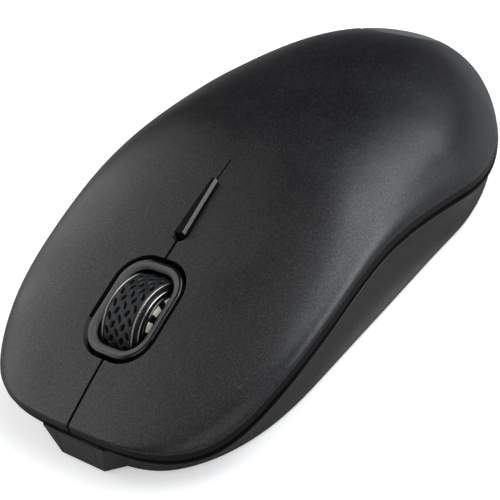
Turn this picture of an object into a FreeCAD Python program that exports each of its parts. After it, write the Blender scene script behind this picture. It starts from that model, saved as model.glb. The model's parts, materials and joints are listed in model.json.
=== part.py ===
"""Slim wireless computer mouse, as the separate pieces it is assembled from.

Millimetres, +Z up, Z = 0 on the desk under the skates. The nose and the buttons are at -Y,
and +X is the user's left, which is the thumb side of a right hand.
"""
import FreeCAD, Part
import math
import os

Vec = FreeCAD.Vector
X_AXIS = Vec(1, 0, 0)
Y_AXIS = Vec(0, 1, 0)
Z_AXIS = Vec(0, 0, 1)

# Outline seen from above: a blunt front cap, a straight waist and a round rear cap
LENGTH = 106.4
HALF_WIDTH = 29.1
FRONT_CAP_Y = -5.0
FRONT_CAP_POWER = 3.35
REAR_CAP_Y = 15.0
REAR_CAP_POWER = 1.68

# Heights along the body as (y, z): the ridge on the centre line, and the rim of the top cover
RIDGE = ((-53.2, 8.4), (-41.3, 13.5), (-21.6, 19.9), (0.0, 25.2), (21.6, 24.5), (41.3, 19.6),
         (48.0, 14.0), (53.2, 6.2))
RIM = ((-53.2, 8.3), (-48.5, 7.5), (-37.5, 10.3), (-22.0, 14.4), (-8.3, 16.3), (4.4, 14.3), (24.0, 8.7),
       (42.0, 5.9), (53.2, 5.9))
FRONT_SECTION_POWER = 4.3
REAR_SECTION_POWER = 2.04
SECTION_ROUNDNESS = 1.9

# Top cover: one skin whose front leaves are the buttons
SKIN = 1.5
LIP = 1.4
END_TRIM = 0.05
SKIN_ROWS = 33
SKIN_COLUMNS = 23
FLEX_Y = -6.4
FLEX_GAP = 0.3
SLIT = 0.5
PRESS_POST_R = 1.4

# Bottom shell; FOOT gives (y, inset) of the side wall's foot from the outline
SHELL_BOTTOM = 0.5
FLOOR_TOP = 1.9
WALL = 1.9
SEAM_DROP = 2.5
SHELL_STEP = 0.25
SCOOP = 0.82
BOTTOM_BEVEL = 0.6
FOOT = ((-53.2, 1.6), (-49.3, 2.9), (-46.0, 3.25), (-36.5, 3.5), (-22.0, 4.05), (-7.0, 3.75),
        (10.7, 3.15), (30.0, 1.95), (53.2, 1.6))
WALL_LEVELS = (0.0, 0.25, 0.5, 0.75, 1.0)
OUTLINE_STEPS = 28
TRIM_THICKNESS = 0.4
TRIM_OUT = 1.7
TRIM_IN = 3.6
SKATE_TOP = 0.6
SKATE_INSET = 4.4
SKATE_WIDTH = 3.4
SKATE_GAP = 0.1

# Nose block and its panel
NOSE_TOP_HALF = 6.4
NOSE_BOTTOM_HALF = 4.6
NOSE_FLARE = 3.0
NOSE_BACK_Y = -50.4
PANEL_HALF = 3.9
PANEL_LOW = 1.0
PANEL_HIGH = 5.4
PANEL_DEPTH = 0.6
PANEL_GAP = 0.12

# Wheel
WHEEL_Y = -32.3
WHEEL_Z = 10.55
WHEEL_R = 7.9
TYRE_HALF = 2.85
RIM_HALF = 3.15
TYRE_INNER_R = 6.9
HUB_R = 6.5
HUB_HALF = 3.9
DRUM_INNER_R = 5.0
AXLE_R = 1.3
WINDOWS = 12
WINDOW_HALF = 0.8
WINDOW_LOW = 4.2
WINDOW_HIGH = 5.2
RUNNING_GAP = 0.05
REST_GAP = 0.05

# Bezel round the wheel, a ring lying on the sloping top
BEZEL_Y = -34.15
BEZEL_Z = 16.05
BEZEL_TILT = 18.1
BEZEL_HALF_WIDTH = 6.3
BEZEL_HALF_LENGTH = 8.55
BEZEL_CORNER = 4.9
BEZEL_FACE = 1.35
BEZEL_THICK = 0.6
BEZEL_GAP = 0.95
BEZEL_SKIRT = 2.2
LEG_IN = 5.4
LEG_OUT = 6.0
LEG_FRONTS = (-38.7, -29.6)
LEG_WIDTH = 1.3

# Wheel carrier, which rocks on a pin behind the wheel
PIVOT_Y = -21.5
PIVOT_Z = 7.0
PIN_R = 1.2
CARRIER_IN = 4.3
CARRIER_OUT = 5.1

# Circuit board
BOARD_LOW = 3.4
BOARD_TOP = 4.4
BOARD_INSET = 7.4
BOARD_REAR_Y = -4.5
WELL_HALF = 8.0
WELL_FRONT_Y = -46.5
WELL_REAR_Y = -19.2

# Switches
MICRO_X = 15.6
MICRO_Y = -33.0
MICRO_SIZE = (5.8, 12.8, 6.5)
MICRO_PLUNGER_Y = -35.0
MICRO_PLUNGER_TOP = 11.5
TACT_HALF = 2.1
TACT_HEIGHT = 3.6
MIDDLE_X = 10.3
MIDDLE_PLUNGER_TOP = 8.8
RESOLUTION_Y = -16.6
RESOLUTION_PLUNGER_TOP = 8.6

# Resolution bar on the centre line
BAR_FRONT_Y = -21.0
BAR_REAR_Y = -10.8
BAR_FRONT_HALF = 1.15
BAR_REAR_HALF = 0.75
BAR_PROUD = 0.9
BAR_SLOT_HALF = 1.4
BAR_SLOT_FRONT_Y = -22.1

# Sensor
SENSOR_Y = -9.5

# Battery bay: one AAA cell lying along Y
CELL_R = 5.25
CELL_LENGTH = 44.5
CELL_FRONT_Y = -0.5
CELL_Z = 7.6
DOOR_HALF = 6.6
DOOR_FRONT_Y = -2.5
DOOR_REAR_Y = 42.8
DOOR_GAP = 0.15

# Receiver pocket, open at the underside
RECEIVER_X = 15.6
RECEIVER_FRONT_Y = 3.5
PLUG_SIZE = (12.0, 14.0, 4.5)
CAP_SIZE = (14.4, 5.2, 6.0)
RECEIVER_LOW = 0.8
SHEET = 0.3
POCKET_GAP = 0.15
POCKET_WALL = 1.0

# Fasteners
SCREW_R = 1.0
SCREW_HEAD_R = 1.9
BOSS_R = 2.6
CASE_SCREW_X = 13.5
CASE_SCREW_Y = 35.0
BOARD_SCREWS = ((-17.5, -18.0), (17.5, -18.0))

# Power switch on the underside of the board
POWER_X = -14.0
POWER_Y = -10.0

# Blank oval inlay at the rear of the palm cover
INLAY_Y = 42.8
INLAY_HALF_WIDTH = 7.5
INLAY_HALF_LENGTH = 6.0
INLAY_GAP = 0.12


# ---------------------------------------------------------------- basic solids
def box(x_low, x_high, y_low, y_high, z_low, z_high):
    return Part.makeBox(x_high - x_low, y_high - y_low, z_high - z_low, Vec(x_low, y_low, z_low))


def rod(radius, length, start, axis=Z_AXIS):
    return Part.makeCylinder(radius, length, Vec(*start), axis)


def tube(outer, inner, length, start, axis=Z_AXIS):
    return rod(outer, length, start, axis).cut(rod(inner, length, start, axis))


def fuse(shapes):
    first, *rest = shapes
    return first.multiFuse(rest).removeSplitter() if rest else first


def mirrored(shape):
    return shape.mirror(Vec(0, 0, 0), X_AXIS)


def rounded_plate(half_x, half_y, corner, thickness):
    """A plate round the origin, with its top at z = 0 and its four upright edges rounded."""
    plate = box(-half_x, half_x, -half_y, half_y, -thickness, 0)
    upright = [edge for edge in plate.Edges if abs(edge.tangentAt(edge.FirstParameter).z) > 0.9]
    return plate.makeFillet(corner, upright)


def bent_strip(profile, x_low, x_high, back_y, back_z):
    """A flat spring: a strip whose side view follows the (y, z) profile, with its back face offset."""
    back = [(y + back_y, z + back_z) for y, z in reversed(profile)]
    corners = [Vec(x_low, y, z) for y, z in list(profile) + back]
    return Part.Face(Part.makePolygon(corners + corners[:1])).extrude(Vec(x_high - x_low, 0, 0))


# ---------------------------------------------------------------- body form
def station_curve(stations):
    """A smooth curve in the YZ plane whose parameter is y."""
    curve = Part.BSplineCurve()
    curve.interpolate(Points=[Vec(0, y, z) for y, z in stations], Parameters=[y for y, _ in stations])
    return curve


RIDGE_CURVE = station_curve(RIDGE)
RIM_CURVE = station_curve(RIM)
FOOT_CURVE = station_curve(FOOT)


def ridge_height(y):
    return RIDGE_CURVE.value(y).z


def rim_height(y):
    return RIM_CURVE.value(y).z


def half_width(y, inset=0.0):
    """Half the width of the outline at y, for the outline drawn in by inset."""
    if y < FRONT_CAP_Y:
        along = (FRONT_CAP_Y - y) / (LENGTH / 2 + FRONT_CAP_Y - inset)
        power = FRONT_CAP_POWER
    else:
        along = max(y - REAR_CAP_Y, 0.0) / (LENGTH / 2 - REAR_CAP_Y - inset)
        power = REAR_CAP_POWER
    return (HALF_WIDTH - inset) * max(1 - along ** power, 0.0) ** (1 / power)


def arch(across, y):
    """Height of the section as a share of its crown, where across runs from -1 to 1."""
    along = (y + LENGTH / 2) / LENGTH
    power = FRONT_SECTION_POWER + (REAR_SECTION_POWER - FRONT_SECTION_POWER) * along
    return max(1 - abs(across) ** power, 0.0) ** (1 / SECTION_ROUNDNESS)


def top_height(x, y):
    return rim_height(y) + (ridge_height(y) - rim_height(y)) * arch(x / half_width(y), y)


def skin_surface(inset, lip):
    """The top surface drawn in by inset, with its edge lip below the rim."""
    rows = []
    for i in range(SKIN_ROWS):
        turn = END_TRIM + (math.pi - 2 * END_TRIM) * i / (SKIN_ROWS - 1)
        y = -math.cos(turn) * (LENGTH / 2 - inset)
        low = rim_height(y) - lip
        high = ridge_height(y) - inset
        row = []
        for j in range(SKIN_COLUMNS):
            across = math.sin(math.pi * (j / (SKIN_COLUMNS - 1) - 0.5))
            row.append(Vec(half_width(y, inset) * across, y, low + (high - low) * arch(across, y)))
        rows.append(row)
    surface = Part.BSplineSurface()
    surface.interpolate(rows)
    return surface


def surface_sides(surface):
    u_low, u_high, v_low, v_high = surface.bounds()
    curves = (surface.uIso(u_low), surface.vIso(v_high), surface.uIso(u_high), surface.vIso(v_low))
    return [curve.toShape() for curve in curves]


def solid_from(faces):
    shell = Part.makeShell(faces)
    shell.sewShape(0.001)
    solid = Part.makeSolid(shell if shell.ShapeType == "Shell" else shell.Shells[0])
    if solid.Volume < 0:
        solid.reverse()
    return solid


def cover_skin():
    """The whole top cover: outer and inner surfaces joined by a lip that stands under the rim."""
    outer = skin_surface(0.0, 0.0)
    lip = skin_surface(0.0, LIP)
    inner = skin_surface(SKIN, LIP)
    faces = [outer.toShape(), inner.toShape()]
    for top, inside in zip(surface_sides(outer), surface_sides(inner)):
        low = top.copy()
        low.translate(Vec(0, 0, -LIP))
        faces.append(Part.makeRuledSurface(top, low))
        faces.append(Part.makeRuledSurface(low, inside))
    return solid_from(faces)


def ring_points(place):
    """Points round the body, where place(y) gives the inset from the outline and the height."""
    side = []
    for i in range(OUTLINE_STEPS + 1):
        turn = math.pi * i / OUTLINE_STEPS
        inset, z = place(-math.cos(turn) * LENGTH / 2)
        y = -math.cos(turn) * (LENGTH / 2 - inset)
        side.append(Vec(half_width(y, inset), y, z))
    return side + [Vec(-point.x, point.y, point.z) for point in reversed(side[1:-1])]


def ring_parameters():
    """Distances along the plain outline, shared by every ring so that rings join cleanly."""
    points = ring_points(lambda y: (0.0, 0.0))
    distances = [0.0]
    for start, end in zip(points, points[1:] + points[:1]):
        distances.append(distances[-1] + start.distanceToPoint(end))
    return distances


RING_PARAMETERS = ring_parameters()


def closed_edge(place):
    curve = Part.BSplineCurve()
    curve.interpolate(Points=ring_points(place), PeriodicFlag=True, Parameters=RING_PARAMETERS)
    return curve.toShape()


def outline_prism(inset, z_low, z_high):
    face = Part.Face(Part.Wire(closed_edge(lambda y: (inset, z_low))))
    return face.extrude(Vec(0, 0, z_high - z_low))


def seam_edge(inset, drop):
    """The rim line drawn in by inset and lowered by drop."""
    return closed_edge(lambda y: (inset, rim_height(y) - drop))


def bridge(first, second):
    return Part.makeRuledSurface(first, second)


# ---------------------------------------------------------------- bottom shell
def scoop_inset(y, z):
    """How far the side wall is drawn in at height z: a concave scoop under the seam."""
    top = rim_height(y) - SEAM_DROP
    height = top - SHELL_BOTTOM
    down = min(max((top - z) / height, 0.0), 1.0)
    slant = (FOOT_CURVE.value(y).z - SHELL_STEP) * down
    return SHELL_STEP + slant + SCOOP * height * down * (1 - down)


def wall_edge(down, low, extra):
    """One level of the side wall, where down runs from 0 at the seam to 1 at the height low."""
    def place(y):
        top = rim_height(y) - SEAM_DROP
        z = top - down * (top - low)
        return scoop_inset(y, z) + extra, z
    return closed_edge(place)


def shell_walls():
    """The open tray: outer wall, seam face, inner wall and a flat floor."""
    outer = [wall_edge(down, SHELL_BOTTOM + BOTTOM_BEVEL, 0.0) for down in WALL_LEVELS]
    inner = [wall_edge(down, FLOOR_TOP, WALL) for down in WALL_LEVELS]
    foot = wall_edge(1.0, SHELL_BOTTOM, BOTTOM_BEVEL)
    faces = [bridge(outer[0], inner[0]), bridge(outer[-1], foot)]
    for edges, end in ((outer, foot), (inner, inner[-1])):
        faces += Part.makeLoft([Part.Wire(edge) for edge in edges], False, False).Faces
        faces.append(Part.Face(Part.Wire(end)))
    return solid_from(faces)


def nose_block():
    """The block at the front, narrower at the desk than at the seam."""
    front = -LENGTH / 2
    top_z = rim_height(front) - SEAM_DROP

    def outline(half, z):
        flank = half + NOSE_FLARE
        points = [(-half, front), (half, front), (flank, NOSE_BACK_Y), (-flank, NOSE_BACK_Y)]
        corners = [Vec(x, y, z) for x, y in points]
        return Part.makePolygon(corners + corners[:1])

    low = outline(NOSE_BOTTOM_HALF, SHELL_BOTTOM)
    high = outline(NOSE_TOP_HALF, top_z)
    return Part.makeLoft([low, high], True, True)


def panel_recess(gap):
    front = -LENGTH / 2
    return box(-PANEL_HALF - gap, PANEL_HALF + gap, front, front + PANEL_DEPTH + gap,
               PANEL_LOW - gap, PANEL_HIGH + gap)


def pivot_post(side):
    post = box(5.6, 7.6, PIVOT_Y - 1.9, PIVOT_Y + 1.9, FLOOR_TOP - 0.2, PIVOT_Z + 2.2)
    post = post.cut(rod(PIN_R + RUNNING_GAP, 4, (4.6, PIVOT_Y, PIVOT_Z), X_AXIS))
    return post if side > 0 else mirrored(post)


def case_boss(side, z_low, z_high):
    return rod(BOSS_R, z_high - z_low, (side * CASE_SCREW_X, CASE_SCREW_Y, z_low))


def receiver_box(gap):
    """The space of the receiver: a flat plug with a thicker cap behind it."""
    plug_x, plug_y, plug_z = PLUG_SIZE
    cap_x, cap_y, cap_z = CAP_SIZE
    middle = RECEIVER_LOW + cap_z / 2
    plug = box(RECEIVER_X - plug_x / 2 - gap, RECEIVER_X + plug_x / 2 + gap, RECEIVER_FRONT_Y - gap,
               RECEIVER_FRONT_Y + plug_y + gap, middle - plug_z / 2, middle + plug_z / 2 + gap)
    cap_front = RECEIVER_FRONT_Y + plug_y
    cap = box(RECEIVER_X - cap_x / 2 - gap, RECEIVER_X + cap_x / 2 + gap, cap_front - gap,
              cap_front + cap_y + gap, RECEIVER_LOW, RECEIVER_LOW + cap_z + gap)
    return plug, cap


def receiver_cavity():
    solids = []
    for part in receiver_box(POCKET_GAP):
        bounds = part.BoundBox
        solids.append(box(bounds.XMin, bounds.XMax, bounds.YMin, bounds.YMax, 0, bounds.ZMax))
    return fuse(solids)


def receiver_walls():
    bounds = receiver_cavity().BoundBox
    return box(bounds.XMin - POCKET_WALL, bounds.XMax + POCKET_WALL, bounds.YMin - POCKET_WALL,
               bounds.YMax + POCKET_WALL, SHELL_BOTTOM, bounds.ZMax + POCKET_WALL)


def battery_cradle():
    outer = box(-DOOR_HALF - 1.2, DOOR_HALF + 1.2, CELL_FRONT_Y - 3.9, CELL_FRONT_Y + CELL_LENGTH + 1.7,
                FLOOR_TOP - 0.2, CELL_Z)
    inner = box(-DOOR_HALF + 0.6, DOOR_HALF - 0.6, CELL_FRONT_Y - 2.9, CELL_FRONT_Y + CELL_LENGTH + 0.7,
                FLOOR_TOP - 1, CELL_Z + 1)
    return outer.cut(inner)


def door_opening():
    return box(-DOOR_HALF, DOOR_HALF, DOOR_FRONT_Y, DOOR_REAR_Y, 0, FLOOR_TOP + 0.1)


def skate_region(front, inset, depth):
    """A crescent just inside the outline, at the nose end or at the tail end."""
    ring = outline_prism(inset, 0, SKATE_TOP).cut(outline_prism(inset + depth, -1, SKATE_TOP + 1))
    if front:
        return ring.common(box(-15, 15, -60, -38, -1, 2))
    return ring.common(box(-13, 13, 38, 60, -1, 2))


def bottom_shell():
    features = [nose_block(), battery_cradle(), receiver_walls()]
    for side in (-1, 1):
        features.append(pivot_post(side))
        features.append(case_boss(side, FLOOR_TOP - 0.2, 8.0))
    for x, y in BOARD_SCREWS:
        features.append(rod(BOSS_R, BOARD_LOW - FLOOR_TOP + 0.2, (x, y, FLOOR_TOP - 0.2)))
    solid = shell_walls()
    for feature in features:
        solid = solid.fuse(feature)
    cuts = [panel_recess(PANEL_GAP), receiver_cavity(), door_opening()]
    cuts.append(box(-4, 4, SENSOR_Y - 3.5, SENSOR_Y + 3.5, 0, FLOOR_TOP + 0.1))
    cuts.append(box(POWER_X - 4.1, POWER_X + 4.1, POWER_Y - 2.1, POWER_Y + 2.1, 0, FLOOR_TOP + 0.1))
    for front in (True, False):
        cuts.append(skate_region(front, SKATE_INSET - SKATE_GAP, SKATE_WIDTH + 2 * SKATE_GAP))
    for side in (-1, 1):
        x = side * CASE_SCREW_X
        cuts.append(rod(SCREW_R + RUNNING_GAP, 9, (x, CASE_SCREW_Y, 0)))
        cuts.append(rod(SCREW_HEAD_R + 0.2, 2.5, (x, CASE_SCREW_Y, 0)))
    for x, y in BOARD_SCREWS:
        cuts.append(rod(SCREW_R + RUNNING_GAP, 3, (x, y, FLOOR_TOP - 0.8)))
    return solid.cut(Part.makeCompound(cuts))


def seam_trim():
    """A thin ring lying on the bottom shell's top edge."""
    high = SEAM_DROP - TRIM_THICKNESS
    edges = [seam_edge(TRIM_OUT, high), seam_edge(TRIM_IN, high), seam_edge(TRIM_IN, SEAM_DROP),
             seam_edge(TRIM_OUT, SEAM_DROP)]
    return solid_from([bridge(first, second) for first, second in zip(edges, edges[1:] + edges[:1])])


# ---------------------------------------------------------------- top cover
def tilt_on_top(shape):
    """Lay a shape made round the origin onto the sloping top at the bezel's centre."""
    shape.rotate(Vec(0, 0, 0), X_AXIS, BEZEL_TILT)
    shape.translate(Vec(0, BEZEL_Y, BEZEL_Z))
    return shape


def wheel_opening():
    plate = rounded_plate(BEZEL_HALF_WIDTH + BEZEL_GAP, BEZEL_HALF_LENGTH + BEZEL_GAP,
                          BEZEL_CORNER + BEZEL_GAP, 12)
    plate.translate(Vec(0, 0, 6))
    return tilt_on_top(plate)


def bar_opening():
    return box(-BAR_SLOT_HALF, BAR_SLOT_HALF, BAR_SLOT_FRONT_Y, BAR_REAR_Y + 0.2, 10, 35)


def press_post():
    top = top_height(MICRO_X, MICRO_PLUNGER_Y) - SKIN / 2
    low = MICRO_PLUNGER_TOP + REST_GAP
    return rod(PRESS_POST_R, top - low, (MICRO_X, MICRO_PLUNGER_Y, low))


def left_button(skin):
    leaf = skin.common(box(SLIT / 2, 40, -60, FLEX_Y - FLEX_GAP / 2, 0, 40))
    leaf = leaf.cut(wheel_opening()).cut(bar_opening())
    return leaf.fuse(press_post())


def inlay_plug(gap):
    """An oval plug square to the sloping rear of the ridge."""
    slope = math.atan2(ridge_height(INLAY_Y + 1) - ridge_height(INLAY_Y - 1), 2.0)
    oval = Part.Ellipse(Vec(0, 0, 0), INLAY_HALF_WIDTH + gap, INLAY_HALF_LENGTH + gap).toShape()
    plug = Part.Face(Part.Wire(oval)).extrude(Vec(0, 0, 8))
    plug.translate(Vec(0, 0, -4))
    plug.rotate(Vec(0, 0, 0), X_AXIS, math.degrees(slope))
    plug.translate(Vec(0, INLAY_Y, ridge_height(INLAY_Y)))
    return plug


def palm_cover(skin):
    cover = skin.common(box(-40, 40, FLEX_Y + FLEX_GAP / 2, 60, 0, 40))
    cover = cover.cut(inlay_plug(INLAY_GAP))
    for side in (-1, 1):
        boss = case_boss(side, 8.05, top_height(CASE_SCREW_X + 1, CASE_SCREW_Y + 1) - 1.0)
        screw_hole = rod(SCREW_R + RUNNING_GAP, 5, (side * CASE_SCREW_X, CASE_SCREW_Y, 8))
        cover = cover.fuse(boss.cut(screw_hole))
    return cover


def rear_inlay(skin):
    return skin.common(inlay_plug(0.0))


def wheel_bezel():
    ring = rounded_plate(BEZEL_HALF_WIDTH, BEZEL_HALF_LENGTH, BEZEL_CORNER, BEZEL_THICK)
    hole = rounded_plate(BEZEL_HALF_WIDTH - BEZEL_FACE, BEZEL_HALF_LENGTH - BEZEL_FACE,
                         BEZEL_CORNER - BEZEL_FACE, 4)
    hole.translate(Vec(0, 0, 2))
    skirt = rounded_plate(BEZEL_HALF_WIDTH, BEZEL_HALF_LENGTH, BEZEL_CORNER, BEZEL_SKIRT)
    skirt = skirt.common(box(LEG_IN, 10, -5, 5, -BEZEL_SKIRT, 0))
    pieces = [tilt_on_top(fuse([ring.cut(hole), skirt, mirrored(skirt)]))]
    for y in LEG_FRONTS:
        top = BEZEL_Z + (y - BEZEL_Y) * math.tan(math.radians(BEZEL_TILT)) - BEZEL_THICK
        leg = box(LEG_IN, LEG_OUT, y, y + LEG_WIDTH, FLOOR_TOP, top)
        pieces += [leg, mirrored(leg)]
    return fuse(pieces)


# ---------------------------------------------------------------- wheel assembly
def around_axle(profile):
    """Turn a profile of (x, radius) points into a ring about the wheel's axle."""
    points = [Vec(x, 0, radius) for x, radius in profile]
    face = Part.Face(Part.makePolygon(points + points[:1]))
    ring = face.revolve(Vec(0, 0, 0), X_AXIS, 360)
    ring.translate(Vec(0, WHEEL_Y, WHEEL_Z))
    return ring


def wheel_tyre():
    shoulder = WHEEL_R - 0.25
    return around_axle([(-TYRE_HALF, TYRE_INNER_R), (-TYRE_HALF, shoulder), (-TYRE_HALF * 0.55, WHEEL_R),
                        (TYRE_HALF * 0.55, WHEEL_R), (TYRE_HALF, shoulder), (TYRE_HALF, TYRE_INNER_R)])


def wheel_rim(side):
    inner, outer = TYRE_HALF, RIM_HALF
    ring = around_axle([(inner, HUB_R), (outer, HUB_R), (outer, WHEEL_R - 0.3), (inner, WHEEL_R - 0.25)])
    return ring if side > 0 else mirrored(ring)


def wheel_hub():
    """The drum under the tyre, its two side discs with windows, and the axle."""
    drum = around_axle([(-TYRE_HALF, DRUM_INNER_R), (-TYRE_HALF, TYRE_INNER_R), (TYRE_HALF, TYRE_INNER_R),
                        (TYRE_HALF, DRUM_INNER_R)])
    back = RIM_HALF - 0.8
    disc = around_axle([(back, 1.0), (back, HUB_R), (HUB_HALF, HUB_R), (HUB_HALF, HUB_R - 0.7),
                        (RIM_HALF, HUB_R - 0.9), (RIM_HALF, 1.0)])
    windows = []
    for i in range(WINDOWS):
        window = box(0, HUB_HALF + 1, -WINDOW_HALF, WINDOW_HALF, WINDOW_LOW, WINDOW_HIGH)
        window.rotate(Vec(0, 0, 0), X_AXIS, 360 / WINDOWS * i)
        window.translate(Vec(0, WHEEL_Y, WHEEL_Z))
        windows.append(window)
    disc = disc.cut(Part.makeCompound(windows))
    axle = rod(AXLE_R, 2 * CARRIER_OUT + 3.0, (-CARRIER_OUT - 2.8, WHEEL_Y, WHEEL_Z), X_AXIS)
    return fuse([drum, disc, mirrored(disc), axle])


def encoder_body():
    body = box(-10.6, -CARRIER_OUT - 0.05, WHEEL_Y - 2.4, WHEEL_Y + 2.4, 6.2, 12.9)
    return body.cut(rod(1.9, 4.0, (-9.6, WHEEL_Y, WHEEL_Z), X_AXIS)).cut(
        rod(AXLE_R + 0.1, 6, (-8.0, WHEEL_Y, WHEEL_Z), X_AXIS))


def encoder_rotor():
    """A ring that grips the axle's end inside the encoder."""
    return tube(1.8, AXLE_R, 2.0, (-7.9, WHEEL_Y, WHEEL_Z), X_AXIS)


def wheel_carrier():
    """Two side plates, a front tie, the pin they rock on and the tab that presses the middle switch."""
    side_outline = [(PIVOT_Y + 2.0, PIVOT_Z - 1.5), (PIVOT_Y + 2.0, PIVOT_Z + 1.5), (WHEEL_Y + 3, 13.0),
                    (WHEEL_Y - 3, 13.0), (-42.6, 9.4), (-42.6, 7.2), (WHEEL_Y, 7.2)]
    corners = [Vec(CARRIER_IN, y, z) for y, z in side_outline]
    side_face = Part.Face(Part.makePolygon(corners + corners[:1]))
    plate = side_face.extrude(Vec(CARRIER_OUT - CARRIER_IN, 0, 0))
    tie = box(-CARRIER_IN - 0.1, CARRIER_IN + 0.1, -42.6, -41.4, 7.2, 9.0)
    pin = rod(PIN_R, 15.4, (-7.7, PIVOT_Y, PIVOT_Z), X_AXIS)
    tab_z = MIDDLE_PLUNGER_TOP + REST_GAP
    tab = box(CARRIER_OUT - 0.1, MIDDLE_X + 1.2, WHEEL_Y - 1.2, WHEEL_Y + 1.2, tab_z, tab_z + 1.0)
    carrier = fuse([plate, mirrored(plate), tie, pin, tab])
    return carrier.cut(rod(AXLE_R + RUNNING_GAP, 12, (-6, WHEEL_Y, WHEEL_Z), X_AXIS))


def carrier_spring():
    """A leaf spring that rises from the floor to the carrier's front tie."""
    profile = [(-48.0, FLOOR_TOP), (-46.0, FLOOR_TOP), (-42.0, 6.9), (-41.6, 6.9)]
    return bent_strip(profile, -1.5, 1.5, 0, 0.25)


# ---------------------------------------------------------------- electronics
def main_board():
    board = outline_prism(BOARD_INSET, BOARD_LOW, BOARD_TOP)
    board = board.common(box(-40, 40, -60, BOARD_REAR_Y, 0, 10))
    cuts = [box(-WELL_HALF, WELL_HALF, WELL_FRONT_Y, WELL_REAR_Y, 0, 10)]
    cuts.append(box(-2.5, 2.5, SENSOR_Y - 2.5, SENSOR_Y + 2.5, 0, 10))
    for x, y in BOARD_SCREWS:
        cuts.append(rod(SCREW_R + RUNNING_GAP, 4, (x, y, 2)))
    return board.cut(Part.makeCompound(cuts))


def micro_switch(side):
    width, length, height = MICRO_SIZE
    body = box(MICRO_X - width / 2, MICRO_X + width / 2, MICRO_Y - length / 2, MICRO_Y + length / 2,
               BOARD_TOP, BOARD_TOP + height)
    pocket = box(MICRO_X - 1.55, MICRO_X + 1.55, MICRO_PLUNGER_Y - 0.85, MICRO_PLUNGER_Y + 0.85,
                 BOARD_TOP + height - 1.6, BOARD_TOP + height + 1)
    body = body.cut(pocket)
    return body if side > 0 else mirrored(body)


def micro_plunger(side):
    plunger = box(MICRO_X - 1.45, MICRO_X + 1.45, MICRO_PLUNGER_Y - 0.75, MICRO_PLUNGER_Y + 0.75,
                  BOARD_TOP + MICRO_SIZE[2] - 0.9, MICRO_PLUNGER_TOP)
    return plunger if side > 0 else mirrored(plunger)


def tact_switch(x, y):
    body = chip(x, y, TACT_HALF, TACT_HALF, TACT_HEIGHT)
    return body.cut(rod(1.3, 2.0, (x, y, BOARD_TOP + TACT_HEIGHT - 1.8)))


def tact_plunger(x, y, top):
    low = BOARD_TOP + TACT_HEIGHT - 1.1
    return rod(1.2, top - low, (x, y, low))


def sensor_lens():
    """A clear tray on the floor with a dome over the opening."""
    tray = box(-7, 7, SENSOR_Y - 4.4, SENSOR_Y + 4.4, FLOOR_TOP + 0.02, BOARD_LOW - 0.3)
    return tray.fuse(rod(2.2, BOARD_LOW - 1.2, (0, SENSOR_Y, 1.2)))


def chip(x, y, half_x, half_y, height):
    return box(x - half_x, x + half_x, y - half_y, y + half_y, BOARD_TOP, BOARD_TOP + height)


def optical_sensor():
    return chip(0, SENSOR_Y, 4.9, 3.9, 2.6)


def power_switch():
    return box(POWER_X - 4.3, POWER_X + 4.3, POWER_Y - 1.8, POWER_Y + 1.8, BOARD_LOW - 1.1, BOARD_LOW)


def power_slider():
    knob = box(POWER_X - 2.9, POWER_X + 0.9, POWER_Y - 1.9, POWER_Y + 1.9, 0.7, 1.6)
    grips = [box(POWER_X - 2.4 + 0.8 * i, POWER_X - 2.0 + 0.8 * i, POWER_Y - 1.5, POWER_Y + 1.5, 0.5, 1.0)
             for i in range(4)]
    stem = box(POWER_X - 1.6, POWER_X - 0.4, POWER_Y - 0.6, POWER_Y + 0.6, 1.2, BOARD_LOW - 1.15)
    return fuse([knob, stem] + grips)


# ---------------------------------------------------------------- controls
def centre_wedge(half_front, half_rear, y_front, y_rear, low, high):
    """A tapered block along the centre line that follows the ridge's slope."""
    wires = []
    for y, half in ((y_front, half_front), (y_rear, half_rear)):
        level = ridge_height(y)
        corners = [Vec(-half, y, level + low), Vec(half, y, level + low), Vec(half, y, level + high),
                   Vec(-half, y, level + high)]
        wires.append(Part.makePolygon(corners + corners[:1]))
    return Part.makeLoft(wires, True, True)


def resolution_bar():
    cap = centre_wedge(BAR_FRONT_HALF, BAR_REAR_HALF, BAR_FRONT_Y, BAR_REAR_Y, -2.4, BAR_PROUD)
    flange = centre_wedge(2.6, 2.6, BAR_FRONT_Y + 0.5, BAR_REAR_Y - 0.5, -3.2, -2.1)
    stem_top = ridge_height(RESOLUTION_Y) - 2.6
    stem_low = RESOLUTION_PLUNGER_TOP + REST_GAP
    stem = rod(1.3, stem_top - stem_low, (0, RESOLUTION_Y, stem_low))
    return fuse([cap, flange, stem])


# ---------------------------------------------------------------- power and receiver
def battery_cell():
    can = rod(CELL_R, CELL_LENGTH - 1.0, (0, CELL_FRONT_Y, CELL_Z), Y_AXIS)
    tip = rod(1.9, 1.1, (0, CELL_FRONT_Y + CELL_LENGTH - 1.1, CELL_Z), Y_AXIS)
    return can.fuse(tip)


def battery_spring():
    """The negative contact, a strip folded into a V that presses on the cell."""
    front = CELL_FRONT_Y
    profile = [(front - 2.3, 3.2), (front - 0.1, 6.9), (front - 0.1, 7.9), (front - 2.3, 11.6)]
    return bent_strip(profile, -3, 3, -0.4, 0)


def battery_contact():
    rear = CELL_FRONT_Y + CELL_LENGTH
    return box(-4, 4, rear + 0.05, rear + 0.4, 3.0, CELL_Z + 3.5)


def battery_door():
    half = DOOR_HALF - DOOR_GAP
    plate = box(-half, half, DOOR_FRONT_Y + DOOR_GAP, DOOR_REAR_Y - DOOR_GAP, SHELL_BOTTOM, FLOOR_TOP - 0.1)
    finger_dip = box(-3.6, 3.6, 36.0, 41.4, 0, 1.0)
    ridges = [box(-3, 3, y, y + 0.5, 0.6, 1.1) for y in (36.7, 37.8, 38.9, 40.0)]
    return fuse([plate.cut(finger_dip)] + ridges)


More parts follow.
